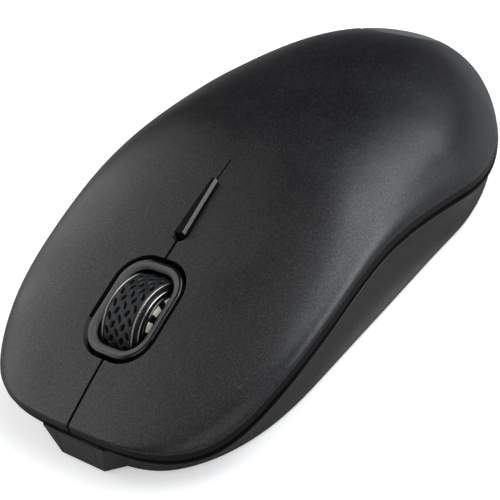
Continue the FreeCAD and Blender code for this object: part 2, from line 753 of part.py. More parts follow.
def receiver_shell():
    plug, _ = receiver_box(0.0)
    bounds = plug.BoundBox
    hollow = box(bounds.XMin + SHEET, bounds.XMax - SHEET, bounds.YMin - 1, bounds.YMax + 1,
                 bounds.ZMin + SHEET, bounds.ZMax - SHEET)
    return plug.cut(hollow)


def receiver_tongue():
    plug, _ = receiver_box(0.0)
    bounds = plug.BoundBox
    return box(bounds.XMin + 0.35, bounds.XMax - 0.35, bounds.YMin + 0.5, bounds.YMax, bounds.ZMin + 0.35,
               bounds.ZMin + 2.2)


def receiver_cap():
    _, cap = receiver_box(0.0)
    upright = [edge for edge in cap.Edges if abs(edge.tangentAt(edge.FirstParameter).y) > 0.9]
    return cap.makeFillet(1.0, upright)


# ---------------------------------------------------------------- fasteners and skates
def case_screws():
    screws = []
    for side in (-1, 1):
        x = side * CASE_SCREW_X
        head = rod(SCREW_HEAD_R, 1.2, (x, CASE_SCREW_Y, 1.2))
        screws.append(head.fuse(rod(SCREW_R, 10.0, (x, CASE_SCREW_Y, 2.3))))
    return Part.makeCompound(screws)


def board_screws():
    screws = []
    for x, y in BOARD_SCREWS:
        head = rod(SCREW_HEAD_R, 1.0, (x, y, BOARD_TOP))
        screws.append(head.fuse(rod(SCREW_R, 2.9, (x, y, BOARD_TOP - 2.8))))
    return Part.makeCompound(screws)


def skate(front):
    return skate_region(front, SKATE_INSET, SKATE_WIDTH)


def write_parts(parts):
    os.makedirs("parts", exist_ok=True)
    for name, shape in parts.items():
        shape.exportStep(os.path.join("parts", name + ".step"))
        print(f"{name:20s} solids {len(shape.Solids)}  valid {shape.isValid()}  {shape.Volume:8.1f} mm3")


def build():
    skin = cover_skin()
    left = left_button(skin)
    parts = {
        "bottom_shell": bottom_shell(),
        "front_nose_panel": panel_recess(0.0),
        "seam_trim": seam_trim(),
        "palm_cover": palm_cover(skin),
        "left_button": left,
        "right_button": mirrored(left),
        "rear_inlay": rear_inlay(skin),
        "wheel_bezel": wheel_bezel(),
        "wheel_tyre": wheel_tyre(),
        "wheel_rim_left": wheel_rim(1),
        "wheel_rim_right": wheel_rim(-1),
        "wheel_hub": wheel_hub(),
        "encoder_body": encoder_body(),
        "encoder_rotor": encoder_rotor(),
        "wheel_carrier": wheel_carrier(),
        "carrier_spring": carrier_spring(),
        "main_board": main_board(),
        "controller_chip": chip(-13.0, -19.0, 2.5, 2.5, 1.0),
        "crystal_can": chip(-6.5, -15.5, 1.0, 1.6, 0.8),
        "optical_sensor": optical_sensor(),
        "sensor_light": chip(8.5, SENSOR_Y, 1.5, 1.2, 1.5),
        "sensor_lens": sensor_lens(),
        "left_switch": micro_switch(1),
        "right_switch": micro_switch(-1),
        "left_plunger": micro_plunger(1),
        "right_plunger": micro_plunger(-1),
        "middle_switch": tact_switch(MIDDLE_X, WHEEL_Y),
        "middle_plunger": tact_plunger(MIDDLE_X, WHEEL_Y, MIDDLE_PLUNGER_TOP),
        "resolution_switch": tact_switch(0, RESOLUTION_Y),
        "resolution_plunger": tact_plunger(0, RESOLUTION_Y, RESOLUTION_PLUNGER_TOP),
        "resolution_bar": resolution_bar(),
        "power_switch": power_switch(),
        "power_slider": power_slider(),
        "battery_cell": battery_cell(),
        "battery_spring": battery_spring(),
        "battery_contact": battery_contact(),
        "battery_door": battery_door(),
        "receiver_shell": receiver_shell(),
        "receiver_tongue": receiver_tongue(),
        "receiver_cap": receiver_cap(),
        "case_screws": case_screws(),
        "board_screws": board_screws(),
        "front_skate": skate(True),
        "rear_skate": skate(False),
    }
    write_parts(parts)


build()
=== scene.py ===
"""The computer mouse as it looks: skins, wheel, trims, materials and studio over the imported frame.

Shapes are worked out in millimetres in the frame's axes and turned into metres when a mesh is made.
The nose and the buttons are at -Y, and +X is the thumb side.
"""
import json
import math

import bmesh
import bpy
import numpy as np
from mathutils import Matrix, Vector


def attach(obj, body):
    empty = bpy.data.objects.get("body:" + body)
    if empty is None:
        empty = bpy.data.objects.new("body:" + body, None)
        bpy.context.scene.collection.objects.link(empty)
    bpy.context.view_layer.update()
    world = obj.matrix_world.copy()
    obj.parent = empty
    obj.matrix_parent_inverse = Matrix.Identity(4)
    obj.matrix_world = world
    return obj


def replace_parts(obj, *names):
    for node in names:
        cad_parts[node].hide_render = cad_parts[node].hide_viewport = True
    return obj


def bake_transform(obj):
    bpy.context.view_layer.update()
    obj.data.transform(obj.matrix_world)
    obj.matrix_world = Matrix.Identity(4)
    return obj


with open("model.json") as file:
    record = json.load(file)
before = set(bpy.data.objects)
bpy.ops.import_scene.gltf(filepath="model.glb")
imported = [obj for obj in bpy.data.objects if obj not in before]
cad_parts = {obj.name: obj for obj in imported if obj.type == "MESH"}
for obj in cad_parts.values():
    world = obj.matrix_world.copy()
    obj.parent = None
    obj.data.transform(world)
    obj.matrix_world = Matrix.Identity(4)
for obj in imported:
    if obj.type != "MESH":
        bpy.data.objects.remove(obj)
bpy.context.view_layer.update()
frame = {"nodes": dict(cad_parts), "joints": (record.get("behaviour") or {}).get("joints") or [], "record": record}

MM = 0.001
JOINTS = {joint["name"]: joint for joint in frame["joints"]}

# Form of the body, the same as the frame's
LENGTH = 106.4
HALF_WIDTH = 29.1
FRONT_CAP_Y = -5.0
FRONT_CAP_POWER = 3.35
REAR_CAP_Y = 15.0
REAR_CAP_POWER = 1.68
RIDGE = ((-53.2, 8.4), (-41.3, 13.5), (-21.6, 19.9), (0.0, 25.2), (21.6, 24.5), (41.3, 19.6),
         (48.0, 14.0), (53.2, 6.2))
RIM = ((-53.2, 8.3), (-48.5, 7.5), (-37.5, 10.3), (-22.0, 14.4), (-8.3, 16.3), (4.4, 14.3),
       (24.0, 8.7), (42.0, 5.9), (53.2, 5.9))
FRONT_SECTION_POWER = 4.3
REAR_SECTION_POWER = 2.04
SECTION_ROUNDNESS = 1.9

# Top cover
OUTLINE_SAMPLES = 1501
DEPTH_SAMPLES = 160
SIDE_STEPS = 190
SHEET_RINGS = 30
EDGE_ROUND = 0.3
LIP = 1.4
LIP_EASE = 0.12
SKIN = 1.5
SLIT = 0.5
REAR_SLIT = 0.3
FLEX_Y = -6.4
TOP, LIP_BAND, INSIDE, ROUNDED = 0, 1, 2, 3  # the cover's material slots

# Bezel
BEZEL_TILT = math.radians(18.1)
BEZEL_Y = -34.15
BEZEL_Z = 16.05
BEZEL_HALF_WIDTH = 6.3
BEZEL_HALF_LENGTH = 8.55
BEZEL_CORNER = 4.9
BEZEL_GAP = 0.75
BEZEL_END_DEPTH = 0.6
BEZEL_SIDE_DEPTH = 2.2
BEZEL_SIDE_X = 3.6
BEZEL_SIDE_FADE = 1.2
GREY, BEVEL, HIDDEN = 0, 1, 2  # the bezel's material slots
# (inset from the outline, height, slot of the band that ends here), where None is the underside
BEZEL_PROFILE = ((0.0, None, HIDDEN), (0.0, -0.32, HIDDEN), (0.05, -0.18, BEVEL), (0.13, -0.1, BEVEL),
                 (0.17, -0.08, BEVEL), (0.22, -0.07, BEVEL), (0.5, -0.06, BEVEL), (0.54, -0.02, GREY),
                 (0.6, 0.0, GREY), (1.0, -0.02, GREY), (1.2, -0.1, GREY), (1.5, -0.4, GREY),
                 (1.58, -0.55, GREY), (1.6, None, HIDDEN))

# Centre bar and its slot
BAR_FRONT_Y = -21.0
BAR_REAR_Y = -10.8
BAR_FRONT_HALF = 1.15
BAR_REAR_HALF = 0.75
BAR_PROUD = 0.9
BAR_RINGS = 24
BAR_FLANK = ((0.0, -3.0), (0.0, -0.42), (0.05, -0.34), (0.36, -0.04), (0.42, 0.0))  # (inset, rise)
SLOT_GAP = 0.3
SLOT_REAR_GAP = 0.18
SLOT_ROUND_BACK = 0.35
SLOT_END_GAP = 0.2

# Wheel
WHEEL_R = 7.9
TURN_STEPS = 160
TYRE_STEPS = 720
TREAD_RINGS = 65
TREAD_CROWN = 0.14
TREAD_END = 0.2
TYRE_HALF = 2.88
TYRE_WALL = ((0.0, 1.4), (0.0, 0.42), (0.07, 0.24))  # (in from the side, down from the tread)
DIMPLE_PITCH = 2.3
DIMPLE_COLUMN = 1.05
DIMPLE_HALF_WIDTH = 0.36
DIMPLE_HALF_LENGTH = 0.68
DIMPLE_DEPTH = 0.3
DIMPLE_REACH = 1.15
DIMPLE_EDGE = 0.35
DIMPLE_LEAN = math.radians(24)
# Painted shade in the dimples: the share of the tyre's colour left at their bottoms, and how far under the tread
# the darkening starts
DIMPLE_PAINTED_SHADE = 0.15
DIMPLE_PAINTED_SHADE_START = 0.1
TYRE_GLOSS = 0.35
RIM_START = TYRE_HALF + 0.02
RIM_END = TYRE_HALF + 0.37
RIM_R = WHEEL_R - 0.04
RIM_INNER_R = 6.9
DRUM_PROFILE = ((-3.27, 5.5), (-3.27, 7.2), (3.27, 7.2), (3.27, 5.5))
RING_START = 3.26
RING_END = 3.58
RING_R = 6.85
RING_INNER_R = 5.8
# Bright cream pads on each hub disc, painted as reflections of the lights
REFLECTION_PADS = 12
REFLECTION_PAD_SPAN = math.radians(19.5)
REFLECTION_PAD_START = math.radians(10)
REFLECTION_PAD_SUNK = -0.1
REFLECTION_PAD_PROFILE = ((5.74, REFLECTION_PAD_SUNK), (5.68, 0.05), (4.87, 0.05), (4.81, REFLECTION_PAD_SUNK))  # (radius, lift)
DISC_FACE_OUTER = (3.7, 5.95)
DISC_FACE_INNER = (4.15, 4.6)
DISC_PROFILE = ((3.3, 1.2), (3.3, 6.3), (3.6, 6.1), DISC_FACE_OUTER, DISC_FACE_INNER,
                (4.16, 4.4), (3.8, 4.1), (3.7, 2.4), (4.1, 2.2), (4.1, 1.2))

# Oval inlay
INLAY_Y = 42.8
INLAY_HALF_WIDTH = 7.5
INLAY_HALF_LENGTH = 6.0
INLAY_GAP = 0.35
INLAY_SUNK = -0.06
INLAY_EDGE = ((1.0, -1.3), (1.0, -0.22), (0.985, -0.12), (0.95, -0.07))  # (share of the oval, height)
INLAY_SHARES = (0.8, 0.6, 0.4, 0.2, 0.001)  # rings over its face

# Studio, with lengths in metres
FLOOR_HALF = 3.0
FLOOR_DROP = 0.0001
FLOOR_IN_GLOSS = 0.25
ROOM_LIGHT = 0.04
ROOM_SEEN = 0.8
LIT_POINT = Vector((0, 0, 0.012))
CAMERA_AZIMUTH = 48.0
CAMERA_ELEVATION = 37.42
CAMERA_ROLL = math.radians(-17.08)
CAMERA_DISTANCE = 0.22137
CAMERA_TARGET = Vector((0.00385, -0.01139, 0.0106))
CAMERA_LENS = 98.39


# ---------------------------------------------------------------- body form
def smooth_curve(stations):
    """A cubic curve through (y, z) stations, with end slopes taken from the four nearest stations."""
    y, z = np.array(stations, float).T
    gap = np.diff(y)
    count = len(y)
    system = np.zeros((count, count))
    target = np.zeros(count)
    system[0, 0] = system[-1, -1] = 1.0
    target[0] = np.polyval(np.polyder(np.polyfit(y[:4], z[:4], 3)), y[0])
    target[-1] = np.polyval(np.polyder(np.polyfit(y[-4:], z[-4:], 3)), y[-1])
    for i in range(1, count - 1):
        system[i, i - 1:i + 2] = 1 / gap[i - 1], 2 / gap[i - 1] + 2 / gap[i], 1 / gap[i]
        target[i] = 3 * ((z[i] - z[i - 1]) / gap[i - 1] ** 2 + (z[i + 1] - z[i]) / gap[i] ** 2)
    slope = np.linalg.solve(system, target)

    def height(at):
        at = np.asarray(at, float)
        k = np.clip(np.searchsorted(y, at) - 1, 0, count - 2)
        t = (at - y[k]) / gap[k]
        start = (1 + 2 * t) * (1 - t) ** 2 * z[k] + t * (1 - t) ** 2 * gap[k] * slope[k]
        end = t * t * (3 - 2 * t) * z[k + 1] + t * t * (t - 1) * gap[k] * slope[k + 1]
        return start + end

    return height


ridge_height = smooth_curve(RIDGE)
rim_height = smooth_curve(RIM)


def half_width(y, inset=0.0):
    """Half the width of the outline at y, for the outline drawn in by inset."""
    y = np.asarray(y, float)
    front = np.maximum(FRONT_CAP_Y - y, 0) / (LENGTH / 2 + FRONT_CAP_Y - inset)
    rear = np.maximum(y - REAR_CAP_Y, 0) / (LENGTH / 2 - REAR_CAP_Y - inset)
    front_share = np.maximum(1 - front ** FRONT_CAP_POWER, 0) ** (1 / FRONT_CAP_POWER)
    rear_share = np.maximum(1 - rear ** REAR_CAP_POWER, 0) ** (1 / REAR_CAP_POWER)
    return (HALF_WIDTH - inset) * np.where(y < FRONT_CAP_Y, front_share, rear_share)


def arch(across, y):
    """Height of the section as a share of its crown, where across runs from -1 to 1."""
    along = (y + LENGTH / 2) / LENGTH
    power = FRONT_SECTION_POWER + (REAR_SECTION_POWER - FRONT_SECTION_POWER) * along
    return np.maximum(1 - np.abs(across) ** power, 0) ** (1 / SECTION_ROUNDNESS)


def sheet_height(x, y, inset=0.0, lip=0.0):
    """Height of the cover's outer sheet, or of the sheet drawn in by inset under it."""
    low = rim_height(y) - lip
    high = ridge_height(y) - inset
    return low + (high - low) * arch(x / np.maximum(half_width(y, inset), 1e-9), y)


def outline(inset):
    """Points evenly spaced round the body's outline drawn in by inset, starting at the nose."""
    turn = np.linspace(0, math.pi, OUTLINE_SAMPLES)
    y = -np.cos(turn) * (LENGTH / 2 - inset)
    x = half_width(y, inset)
    distance = np.concatenate([[0], np.cumsum(np.hypot(np.diff(x), np.diff(y)))])
    even = np.linspace(0, distance[-1], SIDE_STEPS + 1)
    side = np.stack([np.interp(even, distance, x), np.interp(even, distance, y)], 1)
    return np.concatenate([side, side[-2:0:-1] * (-1, 1)])


def sheet_rings(inset, lip, first):
    """Rings over a cover sheet, from a distance first inside its edge to the centre line."""
    depths = inset + (HALF_WIDTH - inset) * np.linspace(0, 1, DEPTH_SAMPLES) ** 3
    flat = np.array([outline(depth) for depth in depths])
    height = sheet_height(flat[..., 0], flat[..., 1], inset, lip)
    points = np.concatenate([flat, height[..., None]], 2)
    steps = np.linalg.norm(np.diff(points, axis=0), axis=2)
    distance = np.concatenate([np.zeros((1, flat.shape[1])), np.cumsum(steps, axis=0)])
    rings = []
    for share in np.linspace(0, 1, SHEET_RINGS) ** 1.5:
        ring = []
        for i in range(flat.shape[1]):
            at = first + (distance[-1, i] - first) * share
            x = np.interp(at, distance[:, i], flat[:, i, 0])
            y = np.interp(at, distance[:, i], flat[:, i, 1])
            ring.append((x, y))
        ring = np.array(ring)
        rings.append(np.column_stack([ring, sheet_height(ring[:, 0], ring[:, 1], inset, lip)]))
    return rings


# ---------------------------------------------------------------- mesh helpers
def new_object(name, mesh):
    obj = bpy.data.objects.new(name, mesh)
    bpy.context.scene.collection.objects.link(obj)
    return obj


def mesh_from_bmesh(name, shape):
    mesh = bpy.data.meshes.new(name)
    shape.to_mesh(mesh)
    shape.free()
    return new_object(name, mesh)


def shade(obj, sharp):
    """Smooth shading, apart from edges that turn by more than sharp degrees."""
    obj.data.shade_smooth()
    obj.data.set_sharp_from_angle(angle=math.radians(sharp))


def grid_object(name, rings, slots=None, wrap=False, sharp=38):
    """A mesh over closed rings of points in millimetres, where slots gives each band's material slot.

    With wrap, the last ring is joined to the first.
    """
    rings = np.asarray(rings, float)
    count = rings.shape[1]
    shape = bmesh.new()
    rows = [[shape.verts.new(point * MM) for point in ring] for ring in rings]
    if wrap:
        rows.append(rows[0])
    for band, (first, second) in enumerate(zip(rows, rows[1:])):
        for i in range(count):
            j = (i + 1) % count
            face = shape.faces.new((first[i], first[j], second[j], second[i]))
            face.material_index = slots[band] if slots else 0
    bmesh.ops.remove_doubles(shape, verts=shape.verts, dist=1e-7)
    bmesh.ops.dissolve_degenerate(shape, edges=shape.edges, dist=1e-8)
    bmesh.ops.recalc_face_normals(shape, faces=shape.faces)
    obj = mesh_from_bmesh(name, shape)
    shade(obj, sharp)
    return obj


def cap(obj, sharp):
    """Closes the open ends of a grid and marks its sharp edges again."""
    shape = bmesh.new()
    shape.from_mesh(obj.data)
    bmesh.ops.holes_fill(shape, edges=[edge for edge in shape.edges if edge.is_boundary])
    bmesh.ops.recalc_face_normals(shape, faces=shape.faces)
    shape.to_mesh(obj.data)
    shape.free()
    obj.data.set_sharp_from_angle(angle=math.radians(sharp))


def prism(name, outline_points, low, high, place=Matrix.Identity(4)):
    """A closed prism over an outline of (x, y) points between two heights, in millimetres."""
    shape = bmesh.new()
    bottom = [shape.verts.new((x, y, low)) for x, y in outline_points]
    top = [shape.verts.new((x, y, high)) for x, y in outline_points]
    count = len(bottom)
    shape.faces.new(bottom[::-1])
    shape.faces.new(top)
    for i in range(count):
        j = (i + 1) % count
        shape.faces.new((bottom[i], bottom[j], top[j], top[i]))
    bmesh.ops.transform(shape, matrix=Matrix.Scale(MM, 4) @ place, verts=shape.verts)
    bmesh.ops.recalc_face_normals(shape, faces=shape.faces)
    return mesh_from_bmesh(name, shape)


def cut(obj, tools):
    """Takes the tools' shapes out of obj and deletes the tools."""
    for tool in tools:
        modifier = obj.modifiers.new("cut", "BOOLEAN")
        modifier.operation = "DIFFERENCE"
        modifier.solver = "EXACT"
        modifier.object = tool
    graph = bpy.context.evaluated_depsgraph_get()
    result = bpy.data.meshes.new_from_object(obj.evaluated_get(graph))
    obj.modifiers.clear()
    obj.data = result
    for tool in tools:
        bpy.data.objects.remove(tool)


def copy_half(source, name, plane_point, plane_normal, keep_x=0):
    """A copy of the part of source behind a plane, and on one side of x if keep_x is 1 or -1."""
    shape = bmesh.new()
    shape.from_mesh(source.data)
    everything = shape.verts[:] + shape.edges[:] + shape.faces[:]
    bmesh.ops.bisect_plane(shape, geom=everything, dist=1e-8, plane_co=plane_point, plane_no=plane_normal,
                           clear_outer=True)
    if keep_x:
        unwanted = [face for face in shape.faces if face.calc_center_median().x * keep_x < 0]
        bmesh.ops.delete(shape, geom=unwanted, context="FACES")
    return mesh_from_bmesh(name, shape)


def rounded_rectangle(half_x, half_y, corner, corner_steps=20):
    """Points round a rectangle with rounded corners."""
    points = []
    for quarter in range(4):
        centre_x = (half_x - corner) * (1 if quarter in (0, 3) else -1)
        centre_y = (half_y - corner) * (1 if quarter in (0, 1) else -1)
        for step in range(corner_steps + 1):
            turn = math.pi / 2 * (quarter + step / corner_steps)
            points.append((centre_x + corner * math.cos(turn), centre_y + corner * math.sin(turn)))
    return points


def bezel_outline(inset):
    """The bezel's outline drawn in by inset, or grown where inset is below zero."""
    return rounded_rectangle(BEZEL_HALF_WIDTH - inset, BEZEL_HALF_LENGTH - inset, BEZEL_CORNER - inset)


def oval(half_x, half_y, steps=72):
    """Points round an oval."""
    turns = [2 * math.pi * step / steps for step in range(steps)]
    return [(half_x * math.cos(turn), half_y * math.sin(turn)) for turn in turns]


def bezel_place():
    return Matrix.Translation((0, BEZEL_Y, BEZEL_Z)) @ Matrix.Rotation(BEZEL_TILT, 4, "X")


def inlay_place():
    """The inlay's own axes: its middle on the ridge, tilted with the ridge's slope there."""
    slope = math.atan2(float(ridge_height(INLAY_Y + 1) - ridge_height(INLAY_Y - 1)), 2.0)
    return Matrix.Translation((0, INLAY_Y, float(ridge_height(INLAY_Y)))) @ Matrix.Rotation(slope, 4, "X")


# ---------------------------------------------------------------- top cover
def cover_body():
    """The whole top cover as one closed skin with a rounded rim and a lip."""
    outer = sheet_rings(0.0, 0.0, EDGE_ROUND)
    edge = outline(0.0)
    rim = rim_height(edge[:, 1])

    def lip_ring(drop, inset=0.0):
        """The outline drawn in by inset, at a drop below the rim."""
        ring = outline(inset) if inset else edge
        return np.column_stack([ring, rim - drop])

    corner = lip_ring(0.0)
    after = lip_ring(EDGE_ROUND)
    rounding = []
    for t in (0.2, 0.4, 0.6, 0.8):
        rounding.append(outer[0] * (1 - t) ** 2 + corner * 2 * t * (1 - t) + after * t ** 2)
    lip = [after, lip_ring(0.6), lip_ring(1.0), lip_ring(LIP - LIP_EASE), lip_ring(LIP, LIP_EASE)]
    inner = sheet_rings(SKIN, LIP, 0.0)
    slots = [TOP] * (len(outer) - 1) + [ROUNDED] * len(rounding) + [LIP_BAND] * len(lip)
    slots += [INSIDE] * len(inner)
    return grid_object("cover_body", outer[::-1] + rounding + lip + inner, slots, sharp=50)


def slot_outline():
    """The bar's slot: a round end at the front, then sides that taper with the bar."""
    round_r = BAR_FRONT_HALF + SLOT_GAP
    round_y = BAR_FRONT_Y + SLOT_ROUND_BACK
    points = []
    for step in range(17):
        turn = math.pi * step / 16
        points.append((round_r * math.cos(turn), round_y - round_r * math.sin(turn)))
    rear_half = BAR_REAR_HALF + SLOT_REAR_GAP
    rear_y = BAR_REAR_Y + SLOT_END_GAP
    return points + [(-rear_half, rear_y), (rear_half, rear_y)]


def slit_outline():
    """The slit between the buttons, which narrows behind the bar and ends at the flexing line."""
    side = [(SLIT / 2, -60), (SLIT / 2, BAR_FRONT_Y), (REAR_SLIT / 2, BAR_REAR_Y)]
    side.append((REAR_SLIT / 2, FLEX_Y + 0.1))
    return side + [(-x, y) for x, y in reversed(side)]


def cover_tools():
    """What is cut out of the cover: the bezel's opening, the slit, the bar's slot and the inlay's seat.

    The heights only have to take each tool through the skin where it cuts.
    """
    seat = oval(INLAY_HALF_WIDTH + INLAY_GAP, INLAY_HALF_LENGTH + INLAY_GAP)
    tools = [prism("opening_tool", bezel_outline(-BEZEL_GAP), -8, 8, bezel_place()),
             prism("slit_tool", slit_outline(), 0, 40),
             prism("slot_tool", slot_outline(), 10, 35),
             prism("inlay_tool", seat, -4, 4, inlay_place())]
    for tool in tools:
        for face in tool.data.polygons:
            face.material_index = INSIDE
        for _ in (TOP, LIP_BAND, INSIDE, ROUNDED):
            tool.data.materials.append(None)
    return tools


def shade_cover(obj):
    """Gives the outer sheet the exact normals of the form, and leaves the other faces as they are."""
    shade(obj, 40)
    mesh = obj.data
    places = np.zeros(len(mesh.vertices) * 3, np.float32)
    mesh.vertices.foreach_get("co", places)
    x, y, _ = places.reshape(-1, 3).astype(float).T / MM
    step = 1e-4
    across = (sheet_height(x + step, y) - sheet_height(x - step, y)) / (2 * step)
    along = (sheet_height(x, y + step) - sheet_height(x, y - step)) / (2 * step)
    exact = np.stack([-across, -along, np.ones_like(across)], 1)
    exact /= np.linalg.norm(exact, axis=1)[:, None]
    normals = np.zeros((len(mesh.loops), 3))
    for face in mesh.polygons:
        if face.material_index == TOP and face.normal.z > 0:
            for loop in face.loop_indices:
                normals[loop] = exact[mesh.loops[loop].vertex_index]
    mesh.normals_split_custom_set(normals.tolist())


def build_cover():
    """The cover in three: the palm, and two leaves in front of the flexing line."""
    body = cover_body()
    cut(body, cover_tools())
    flex = Vector((0, FLEX_Y * MM, 0))
    palm = copy_half(body, "palm_skin", flex, (0, -1, 0))
    left = copy_half(body, "left_leaf", flex, (0, 1, 0), 1)
    right = copy_half(body, "right_leaf", flex, (0, 1, 0), -1)
    bpy.data.objects.remove(body)
    for obj in (palm, left, right):
        shade_cover(obj)
    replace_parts(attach(palm, "chassis"), "palm_cover")
    for obj, body_name in ((left, "left_button"), (right, "right_button")):
        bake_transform(obj)
        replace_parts(obj, body_name)
    return palm, left, right


def build_inlay():
    """A blank oval plate set just under the palm's surface, with a rounded edge."""
    place = inlay_place()
    rings = []
    for share, height in INLAY_EDGE + tuple((share, INLAY_SUNK) for share in INLAY_SHARES):
        ring = []
        for u, v in oval(INLAY_HALF_WIDTH * share, INLAY_HALF_LENGTH * share):
            x, y, _ = place @ Vector((u, v, 0))
            ring.append((x, y, float(sheet_height(x, y)) + height))
        rings.append(ring)
    plate = grid_object("oval_inlay", rings)
    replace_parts(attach(plate, "chassis"), "rear_inlay")
    return plate


# ---------------------------------------------------------------- bezel and bar
def build_bezel():
    """A flat ring with a glossy outer edge, deeper along its sides than at its ends."""
    place = bezel_place()
    rings = []
    for inset, height, _ in BEZEL_PROFILE:
        ring = []
        for x, y in bezel_outline(inset):
            side = min(max((abs(x) - BEZEL_SIDE_X) / BEZEL_SIDE_FADE, 0), 1)
            depth = BEZEL_END_DEPTH + (BEZEL_SIDE_DEPTH - BEZEL_END_DEPTH) * side * side * (3 - 2 * side)
            ring.append(place @ Vector((x, y, -depth if height is None else height)))
        rings.append(ring)
    slots = [slot for _, _, slot in BEZEL_PROFILE[1:]] + [HIDDEN]
    bezel = grid_object("bezel_ring", rings, slots, wrap=True)
    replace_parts(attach(bezel, "chassis"), "wheel_bezel")
    return bezel


def build_bar():
    """A tapered bar with a lighter facet along each side as a painted sheen, standing proud along the ridge."""
    rings = []
    for y in np.linspace(BAR_FRONT_Y, BAR_REAR_Y, BAR_RINGS):
        along = (y - BAR_FRONT_Y) / (BAR_REAR_Y - BAR_FRONT_Y)
        half = BAR_FRONT_HALF + (BAR_REAR_HALF - BAR_FRONT_HALF) * along
        top = float(ridge_height(y)) + BAR_PROUD
        flank = [(half - inset, rise) for inset, rise in BAR_FLANK]
        section = [(-x, rise) for x, rise in flank] + flank[::-1]
        rings.append([(x, y, top + rise) for x, rise in section])
    bar = grid_object("centre_bar", rings, sharp=30)
    cap(bar, 30)
    for face in bar.data.polygons:
        # The slanted side facets carry the painted sheen
        slanted = 0.4 < abs(face.normal.x) < 0.9
        face.material_index = 1 if slanted else 0
    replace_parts(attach(bar, "resolution_bar"), "resolution_bar")
    return bar


# ---------------------------------------------------------------- wheel
def wheel_centre():
    return np.array(JOINTS["scroll_wheel"]["pos_m"]) / MM


def wheel_ring(x, radius, turns):
    """Points round the axle at x, where radius is one value or one for each turn."""
    _, centre_y, centre_z = wheel_centre()
    return np.column_stack([np.full(len(turns), x), centre_y + radius * np.cos(turns),
                            centre_z + radius * np.sin(turns)])


def turned(name, profile):
    """A ring turned about the wheel's axle from a profile of (x, radius) points."""
    turns = np.linspace(0, 2 * math.pi, TURN_STEPS, endpoint=False)
    rings = [wheel_ring(x, radius, turns) for x, radius in profile]
    return grid_object(name, rings, wrap=True)


def dimple_depth(x, arc):
    """Depth of the tyre's pattern at x and at a distance arc round the tread."""
    depth = np.zeros(np.broadcast(x, arc).shape)
    repeats = round(2 * math.pi * WHEEL_R / DIMPLE_PITCH)
    pitch = 2 * math.pi * WHEEL_R / repeats
    for column in range(-2, 3):
        around = (arc / pitch + 0.5 * (column % 2) + 0.5) % 1.0 - 0.5
        along = around * pitch
        across = x - DIMPLE_COLUMN * column
        lean = DIMPLE_LEAN if column % 2 else -DIMPLE_LEAN
        far = np.hypot((across * math.cos(lean) + along * math.sin(lean)) / DIMPLE_HALF_WIDTH,
                       (along * math.cos(lean) - across * math.sin(lean)) / DIMPLE_HALF_LENGTH)
        share = np.clip((DIMPLE_REACH - far) / DIMPLE_EDGE, 0, 1)
        depth = np.maximum(depth, DIMPLE_DEPTH * share * share * (3 - 2 * share))
    return depth


def build_tyre():
    """A rubber tyre whose tread is covered with staggered oval dimples."""
    turns = np.linspace(0, 2 * math.pi, TYRE_STEPS, endpoint=False)
    wall = [(x - TYRE_HALF, WHEEL_R - down) for x, down in TYRE_WALL]
    tread = np.linspace(TREAD_END - TYRE_HALF, TYRE_HALF - TREAD_END, TREAD_RINGS)
    rings = [wheel_ring(x, radius, turns) for x, radius in wall]
    for x in tread:
        crowned = WHEEL_R - TREAD_CROWN * (x / TYRE_HALF) ** 4
        rings.append(wheel_ring(x, crowned - dimple_depth(x, turns * WHEEL_R), turns))
    rings += [wheel_ring(-x, radius, turns) for x, radius in reversed(wall)]
    tyre = grid_object("dimpled_tyre", rings, wrap=True, sharp=70)
    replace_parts(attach(tyre, "wheel"), "wheel_tyre")
    return tyre


def bead(side, low_x, high_x, radius, inner):
    """Profile of a rim with a rounded outer edge."""
    middle = (low_x + high_x) / 2
    half = (high_x - low_x) / 2
    points = [(low_x, inner), (low_x, radius - half)]
    for step in range(1, 8):
        turn = math.pi * step / 8
        points.append((middle - half * math.cos(turn), radius - half + half * math.sin(turn)))
    points += [(high_x, radius - half), (high_x, inner)]
    return [(side * x, r) for x, r in points]


def build_rims():
    """The bright rim on each side of the tyre."""
    rims = []
    for side, name, node in ((1, "rim_left", "wheel_rim_left"), (-1, "rim_right", "wheel_rim_right")):
        rim = turned(name, bead(side, RIM_START, RIM_END, RIM_R, RIM_INNER_R))
        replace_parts(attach(rim, "wheel"), node)
        rims.append(rim)
    return rims


def build_hub():
    """Two dished discs, each with a polished ring and bright pads painted as reflections, and the drum between
    them.

    Each piece comes with the number of its finish: 0 gloss, 1 polished or 2 cream, the painted reflection.
    """
    drum = turned("hub_drum", DRUM_PROFILE)
    pieces = [(drum, 0)]
    for side, label in ((1, "left"), (-1, "right")):
        ring = turned("hub_ring_" + label, bead(side, RING_START, RING_END, RING_R, RING_INNER_R))
        disc = turned("hub_disc_" + label, [(side * x, radius) for x, radius in DISC_PROFILE])
        pieces += [(ring, 1), (disc, 0), (build_painted_reflections(side, "hub_painted_reflections_" + label), 2)]
    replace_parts(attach(drum, "wheel"), "wheel_hub")
    for obj, _ in pieces[1:]:
        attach(obj, "wheel")
    return pieces


def disc_face(radius):
    """Distance of the disc's slanted face from the middle of the wheel."""
    outer_x, outer_r = DISC_FACE_OUTER
    inner_x, inner_r = DISC_FACE_INNER
    return outer_x + (inner_x - outer_x) * (outer_r - radius) / (outer_r - inner_r)


